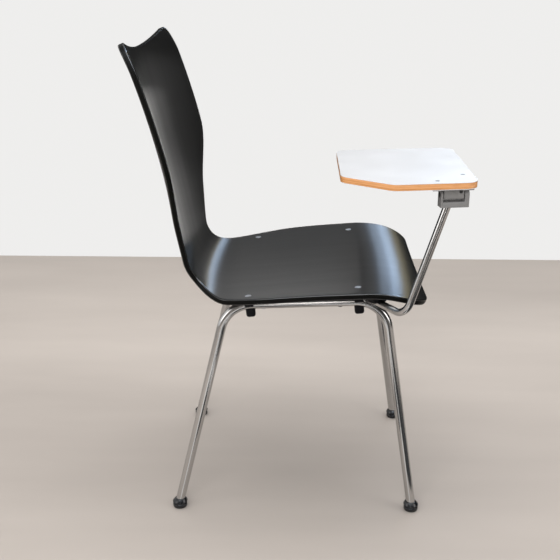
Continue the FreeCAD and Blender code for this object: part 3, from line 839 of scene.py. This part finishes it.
for end, x in foot_forward.items():
    lean = Vector((leg_lean[end], inward_lean, 0))
    spot = Vector((x, foot_aside, 0)) + lean * groove_top
    pad = turned(f"floor_pad_{end}_right", spot, pad_rings, lean)
    cap = turned(f"leg_cap_{end}_right", spot, cap_rings, lean)
    for right, node_words in ((pad, "glide_pad"), (cap, "foot_cap")):
        left = mirrored_copy(right, right.name.replace("right", "left"))
        hand_over(right, "chair", "black_plastic", [moulded_black], f"{node_words}_{end}_right")
        hand_over(left, "chair", "black_plastic", [moulded_black], f"{node_words}_{end}_left")

# %% [markdown]
# ## Hinge castings
# The fork on the arm and the leaf under the tablet are castings, and no casting leaves its
# mould with sharp edges. Their solid models have the right shape, so a copy of each is
# merged into one skin and its edges are rounded.


# %% Rounded fork and leaf
def rounded_copy(node_name, name, body, width):
    node = pick(nodes[node_name])
    bpy.ops.object.duplicate(linked=False)
    piece = named(name)
    # The copy is no longer a node of the solid model
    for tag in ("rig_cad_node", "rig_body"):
        if tag in piece:
            del piece[tag]
    bpy.ops.mesh.customdata_custom_splitnormals_clear()
    bpy.ops.object.mode_set(mode="EDIT")
    bpy.ops.mesh.select_all(action="SELECT")
    bpy.ops.mesh.remove_doubles(threshold=0.01 * MM)
    bpy.ops.mesh.dissolve_limited(angle_limit=math.radians(1))
    bpy.ops.mesh.normals_make_consistent(inside=False)
    bpy.ops.object.mode_set(mode="OBJECT")
    ease_edges(piece, width * MM)
    hand_over(piece, body, "grey_hinge_casting", [cast_grey], node.name)


rounded_copy("hinge_yoke", "arm_fork", "chair", 0.8)
rounded_copy("hinge_leaf", "tablet_leaf", "tablet", 0.5)

# %% [markdown]
# ## Camera
# The camera stands level with the top of the back, on the tablet's side, and looks down a
# little. Its place and lens come from lining up the feet, the screws and the tablet's
# corners with the photograph.

# %% Camera at the photograph's angle
camera_spot = Vector((0.009, -1.593, 0.970))
camera_pitch = 70.23
camera_yaw = 1.52
focal_pixels = 862.0
frame_pixels = 560.0
sensor_width = 36.0

camera_data = bpy.data.cameras.new("photo_camera")
camera_data.sensor_width = sensor_width
camera_data.lens = focal_pixels / frame_pixels * sensor_width
camera = bpy.data.objects.new("photo_camera", camera_data)
camera.location = camera_spot
camera.rotation_euler = (math.radians(camera_pitch), 0, math.radians(camera_yaw))
bpy.context.scene.collection.objects.link(camera)
bpy.context.scene.camera = camera
print("lens is", round(camera_data.lens, 1), "mm")

# %% [markdown]
# ## Floor
# The chair stands on a plain pale concrete floor, which ends behind it, where the pale
# background takes over. One large plane is enough. A noise stretched sideways gives faint
# streaks, and the surface is dull, so that no lamp shows in it.


# %% Pale floor
def make_floor():
    start_fresh()
    floor_back = 1.34
    floor_reach = 7.0
    bpy.ops.mesh.primitive_plane_add(size=2, location=(0, floor_back - floor_reach, 0))
    floor = named("studio_floor")
    floor.scale = (floor_reach, floor_reach, 1)
    material, tree, shader = new_finish("pale_concrete", (0.59, 0.54, 0.50), specular_ior_level=0.1)
    cloud = noise(tree, place_pattern(tree, (1.6, 7, 1)), 5.0, 0.6)
    stops = [(0.35, (0.52, 0.475, 0.44)), (0.65, (0.67, 0.615, 0.57))]
    tree.links.new(color_between(tree, cloud, stops), shader.inputs["Base Color"])
    tree.links.new(value_between(tree, cloud, 0.55, 0.65), shader.inputs["Roughness"])
    floor.data.materials.append(material)
    floor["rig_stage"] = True
    print("the floor is", 2 * floor_reach, "m wide and ends", floor_back, "m behind the chair")


make_floor()

# %% [markdown]
# ## Lamps
# Gloss is lit by what it mirrors, and pale laminate by what falls on it. So some lamps here
# show in mirrors only, and others only spread light. Three strips hang high behind the chair,
# side by side. The lacquer's grain stretches their mirror image into the two light bands
# across the shell, and the warm strip tints the bands' outer edge.


# %% Strips behind the chair
def add_lamp(name, spot, aim, size, power, color, mirrored=True, spreading=True):
    """Soft lamp that the camera does not see, for mirrored light, for spread light or for both."""
    data = bpy.data.lights.new(name, "AREA")
    data.shape = "RECTANGLE"
    data.size, data.size_y = size
    data.energy = power
    data.color = color
    lamp = bpy.data.objects.new(name, data)
    lamp.location = spot
    lamp.rotation_euler = (Vector(aim) - Vector(spot)).to_track_quat("-Z", "Y").to_euler()
    lamp.visible_camera = False
    lamp.visible_glossy = mirrored
    lamp.visible_diffuse = spreading
    bpy.context.scene.collection.objects.link(lamp)
    print("lamp", name, "has", power, "W")
    return lamp


cool = (0.56, 0.74, 1.0)
olive = (1.0, 0.85, 0.45)
strip_y = 1.1
strip_z = 2.1
strip_length = 1.8
seat_z = 0.44

# Name, place forward, width, power and colour
strips = [
    ("cool_key", 0.81, 0.22, 25, cool),
    ("cool_edge", 0.58, 0.24, 8.5, cool),
    ("warm_strip", 1.03, 0.18, 6, olive),
]
for name, x, width, power, color in strips:
    spot = (x, strip_y, strip_z)
    add_lamp(name, spot, (x, 0, seat_z), (width, strip_length), power, color, spreading=False)

# %% [markdown]
# A panel low behind the chair lightens the near side of the back. It is linked to the shell
# alone, because the tubes would mirror it as a white line. A broad lamp high in front draws
# the thin light line along the seat's rim, and a narrow one behind the viewer draws lines on
# the tubes.

# %% Lamps that show in mirrors only
soft = (1.0, 0.975, 0.95)
pale_blue = (0.85, 0.92, 1.0)
middle = (0, 0, 0.4)
panel_spot = (-0.4, 2.2, 0.19)
panel_aim = (-0.4, 0, 0.19)
back_panel = add_lamp("back_panel", panel_spot, panel_aim, (1.2, 0.98), 17, soft, spreading=False)
shell_only = bpy.data.collections.new("shell_only")
shell_only.objects.link(shell)
back_panel.light_linking.receiver_collection = shell_only
add_lamp("rim_strip", (0, -1.3, 2.2), (0, -0.1, 0.45), (2.4, 1.2), 50, pale_blue, spreading=False)
add_lamp("viewer_glint", (0, -2.8, 1.0), middle, (0.16, 2.0), 5, soft, spreading=False)

# %% [markdown]
# The soft lamps light the tablet, the floor and the edges. The one overhead is very broad, so
# the chair's shadow stays faint. The two at the sides also draw lines on the tubes.

# %% Soft lamps
add_lamp("left_side", (-2.1, -1.15, 1.05), middle, (0.9, 0.9), 5.5, soft)
add_lamp("right_side", (2.1, -0.9, 1.0), middle, (1.0, 1.0), 8, soft)
add_lamp("overhead", (0, 0.3, 2.6), (0, 0.2, 0.45), (3.6, 3.0), 58, soft, mirrored=False)
add_lamp("viewer_fill", (-0.6, -2.8, 1.6), middle, (2.0, 1.6), 48, soft, mirrored=False)

# %% [markdown]
# ## Cards
# Gloss and chrome look like whatever stands around them. So a photographer puts cards round a
# set, outside the picture, and keeps black gloss black and chrome full of contrast. These
# show in mirrors only: they cast no shadow and the camera does not see them. On the floor,
# light and dark wedges run from the near feet towards the viewer. The legs mirror them as
# lines along the tube.


# %% Cards that stand
def add_card(name, corners, color):
    """Card with four corners, given row by row."""
    start_fresh()
    bpy.ops.mesh.primitive_plane_add(size=1)
    card = named(name)
    for vertex, corner in zip(card.data.vertices, corners):
        vertex.co = corner
    card.visible_camera = False
    card.visible_diffuse = False
    card.visible_shadow = False
    material = new_finish(name + "_face", color, roughness=0.9)[0]
    card.data.materials.append(material)
    card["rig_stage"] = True
    print("card", name)


def wall_card(name, y, low_x, low_z, high_x, high_z, color):
    corners = [(low_x, y, low_z), (high_x, y, low_z), (low_x, y, high_z), (high_x, y, high_z)]
    add_card(name, corners, color)


card_black = (0.02, 0.02, 0.02)
card_grey = (0.10, 0.10, 0.10)
card_room = (0.50, 0.48, 0.46)
card_white = (0.90, 0.90, 0.90)
back_y = 2.3
room_y = -3.4
room_split = 0.45
side_x = 3.2
front_y = -1.2
wall_card("low_back_card", back_y, 0.55, -0.4, 4.0, 0.9, card_black)
wall_card("high_back_card", back_y, -1.2, 0.9, 4.0, 2.4, card_black)
wall_card("left_back_card", back_y, -2.6, -0.8, 0.25, 0.9, card_black)
wall_card("room_card", room_y, -4.0, 0.0, room_split, 3.0, card_room)
wall_card("room_shade", room_y, room_split, 0.0, 4.0, 3.0, card_black)
side_corners = [(side_x, y, z) for z in (-0.4, 2.6) for y in (front_y, back_y)]
add_card("side_card", side_corners, card_black)


# %% Cards that lie flat
def flat_card(name, z, low_x, low_y, high_x, high_y, color):
    corners = [(low_x, low_y, z), (high_x, low_y, z), (low_x, high_y, z), (high_x, high_y, z)]
    add_card(name, corners, color)


def floor_wedge(name, foot, from_angle, to_angle, start, color):
    """Card on the floor that widens away from a foot, towards the viewer."""
    reach = 1.4
    corners = []
    for distance in (start, reach):
        for angle in (math.radians(from_angle), math.radians(to_angle)):
            x = foot[0] + distance * math.sin(angle)
            y = foot[1] - distance * math.cos(angle)
            corners.append((x, y, card_rise))
    add_card(name, corners, color)


card_rise = 0.003
rear_foot = (-0.22, -0.19)
front_foot = (0.22, -0.19)
flat_card("top_card", 2.7, 1.3, front_y, side_x, back_y, card_black)
flat_card("front_card", card_rise, -0.5, -3.0, 1.5, -1.35, card_grey)
floor_wedge("rear_light", rear_foot, -12.0, 8.0, 0.02, card_white)
floor_wedge("rear_dark", rear_foot, 12.0, 50.0, 0.25, card_black)
floor_wedge("front_light", front_foot, -26.0, -8.0, 0.02, card_white)
floor_wedge("front_dark", front_foot, 0.0, 95.0, 0.15, card_black)

# %% [markdown]
# ## Background
# The background is the world's own pale colour. The camera and all mirrors see it at full
# strength, but as a source of light it is weaker, so the chair is not washed out.


# %% Background
def make_background():
    """Pale world: full strength where it is seen or mirrored, softer as a source of light."""
    world = bpy.data.worlds.new("pale_studio")
    bpy.context.scene.world = world
    world.use_nodes = True
    tree = world.node_tree
    shader = tree.nodes["Background"]
    shader.inputs["Color"].default_value = (0.86, 0.855, 0.845, 1)
    path = tree.nodes.new("ShaderNodeLightPath")
    seen = path.outputs["Is Camera Ray"]
    for kind in ("Is Glossy Ray", "Is Transmission Ray"):
        either = tree.nodes.new("ShaderNodeMath")
        either.operation = "MAXIMUM"
        tree.links.new(seen, either.inputs[0])
        tree.links.new(path.outputs[kind], either.inputs[1])
        seen = either.outputs["Value"]
    strength = tree.nodes.new("ShaderNodeMapRange")
    strength.inputs["To Min"].default_value = 0.35
    strength.inputs["To Max"].default_value = 1.0
    tree.links.new(seen, strength.inputs["Value"])
    tree.links.new(strength.outputs["Result"], shader.inputs["Strength"])
    print("made", world.name)


make_background()
bpy.context.scene.view_settings.view_transform = "Standard"

# %% [markdown]
# ## How far the chair grows
# The dressed chair has to stay inside the solid model's box, so how far it reaches beyond that box at
# each corner is printed.

# %% Print how far the chair grew
visual_low, visual_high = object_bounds()
for name, growth in (("low", cad_low - visual_low), ("high", visual_high - cad_high)):
    print("grew at the", name, "corner by", [round(v / MM, 2) for v in growth], "mm")
